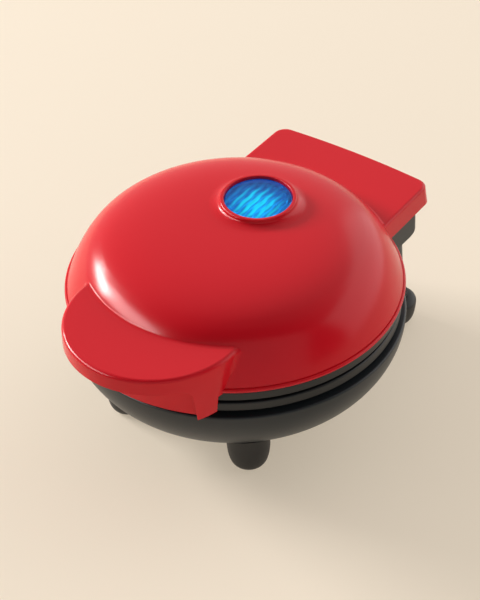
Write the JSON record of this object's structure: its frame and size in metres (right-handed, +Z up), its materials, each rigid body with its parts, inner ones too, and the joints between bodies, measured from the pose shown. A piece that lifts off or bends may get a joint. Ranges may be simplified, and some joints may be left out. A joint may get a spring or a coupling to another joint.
{
  "type": "waffle maker",
  "caption": "Small round waffle maker with a red domed lid, front handle, blue lamp lens, dark base and feet, hinged at the rear.",
  "frame": {"origin": "on the surface that the feet stand on, below the middle of the object's bounding box, which is the plates' centre line", "axes": "+Z up, -Y towards the handle, +Y towards the hinge, +X to the right of someone who faces the handle"},
  "size_m": [0.1276, 0.165, 0.0802],
  "materials": {
    "red_shell": "gloss",
    "black_shell": "satin",
    "rubber": "matte",
    "nonstick_plate": "satin",
    "blue_lens": "gloss",
    "lamp_glass": "gloss",
    "dark_moulding": "matte",
    "pale_moulding": "matte",
    "board": "satin",
    "wire_sleeve": "matte",
    "bright_sheet": "polished",
    "element_steel": "satin",
    "steel": "satin"
  },
  "bodies": {
    "base": {"base_shell": "black_shell", "cord_inlet_bushing": "black_shell", "foot_front_left": "rubber", "foot_front_right": "rubber", "foot_rear_left": "rubber", "foot_rear_right": "rubber", "hinge_sleeve_base": "wire_sleeve", "lower_clamp_screw": "steel", "lower_element_clamp": "steel", "lower_element_lead": "wire_sleeve", "lower_heat_reflector": "bright_sheet", "lower_heating_element": "element_steel", "lower_plate": "nonstick_plate", "lower_plate_screw_1": "steel", "lower_plate_screw_2": "steel", "lower_plate_screw_3": "steel", "supply_lead": "wire_sleeve", "terminal_block": "pale_moulding", "terminal_block_screw": "steel", "thermostat": "dark_moulding", "thermostat_lead": "wire_sleeve", "thermostat_screw_left": "steel", "thermostat_screw_right": "steel"},
    "lid": {"fuse_clip": "steel", "fuse_lead": "wire_sleeve", "hinge_pin_left": "steel", "hinge_pin_right": "steel", "hinge_sleeve_lid": "wire_sleeve", "indicator_lamp": "lamp_glass", "indicator_lens": "blue_lens", "lamp_board": "board", "lamp_housing": "pale_moulding", "lamp_lead": "wire_sleeve", "lamp_screw_left": "steel", "lamp_screw_right": "steel", "lid_carrier": "dark_moulding", "lid_shell": "red_shell", "thermal_fuse": "pale_moulding", "upper_clamp_screw": "steel", "upper_element_clamp": "steel", "upper_element_lead": "wire_sleeve", "upper_heat_reflector": "bright_sheet", "upper_heating_element": "element_steel", "upper_plate": "nonstick_plate", "upper_plate_screw_1": "steel", "upper_plate_screw_2": "steel", "upper_plate_screw_3": "steel", "upper_return_lead": "wire_sleeve"}
  },
  "joints": [
    {"name": "lid_hinge", "type": "hinge", "parent": "base", "child": "lid", "pos_m": [0, 0.07, 0.0455], "axis": [-1, 0, 0], "range_deg": [0, 100]}
  ]
}
